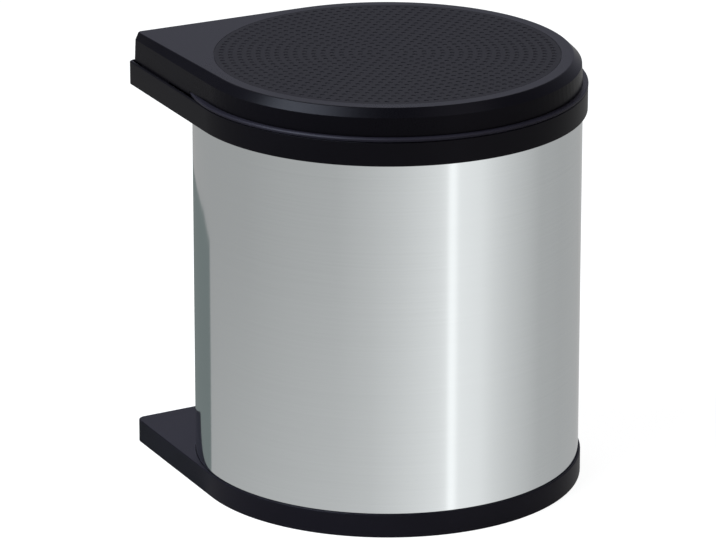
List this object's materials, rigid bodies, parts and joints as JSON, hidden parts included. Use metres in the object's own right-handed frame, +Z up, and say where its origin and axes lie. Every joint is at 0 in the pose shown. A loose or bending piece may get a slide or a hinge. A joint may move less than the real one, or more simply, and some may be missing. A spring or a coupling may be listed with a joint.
{
  "type": "under-sink waste bin",
  "caption": "Round steel waste bin with dark lid and base that swings out of a kitchen cabinet on a corner pivot while a cam lifts its lid.",
  "frame": {"origin": "on the drum's axis, at the underside of the base, which stands on the floor", "axes": "+Z up along the drum's axis, +Y towards the wall that the bracket is screwed to, -X towards the cabinet door; the square corner with the swing pivot is at -X +Y"},
  "size_m": [0.298, 0.315, 0.3275],
  "materials": {
    "bracket_steel": "satin powder coat",
    "fixing_steel": "zinc plated",
    "drum_steel": "finely brushed, half bright",
    "housing_plastic": "satin moulded",
    "bucket_plastic": "fine moulded grain",
    "nylon": "natural"
  },
  "bodies": {
    "wall_mount": {"wall_bracket": "bracket_steel", "top_arm": "bracket_steel", "bottom_arm": "bracket_steel", "arm_rivets": "fixing_steel", "top_pivot_pin": "fixing_steel", "bottom_pivot_pin": "fixing_steel", "thrust_washer": "nylon", "lift_cam": "nylon"},
    "bin": {"base_frame": "housing_plastic", "steel_drum": "drum_steel", "drum_screws": "fixing_steel", "upper_frame": "housing_plastic", "top_pivot_bush": "nylon", "bottom_pivot_bush": "nylon", "hinge_bridge": "housing_plastic", "bridge_screws": "fixing_steel", "lid_hinge_pin": "fixing_steel", "inner_bucket": "bucket_plastic", "bucket_handle": "fixing_steel", "handle_grip": "bucket_plastic"},
    "lid": {"lid_shell": "housing_plastic", "lid_hinge_block": "housing_plastic", "block_screws": "fixing_steel"},
    "plunger": {"lift_plunger": "nylon"}
  },
  "joints": [
    {"name": "bin_swing", "type": "hinge", "parent": "wall_mount", "child": "bin", "pos_m": [-0.12, 0.12, 0.149], "axis": [0, 0, -1], "range_deg": [0, 90]},
    {"name": "lid_hinge", "type": "hinge", "parent": "bin", "child": "lid", "pos_m": [-0.102, 0.1365, 0.31338], "axis": [-1, 0, 0], "range_deg": [0, 45]},
    {"name": "plunger_lift", "type": "slide", "parent": "bin", "child": "plunger", "axis": [0, 0, 1], "range_m": [0, 0.00786]}
  ],
  "couplings": [
    {"joint": "lid_hinge", "follows": "bin_swing", "ratio": 0.5},
    {"joint": "plunger_lift", "follows": "bin_swing", "m_per_rad": 0.005}
  ]
}
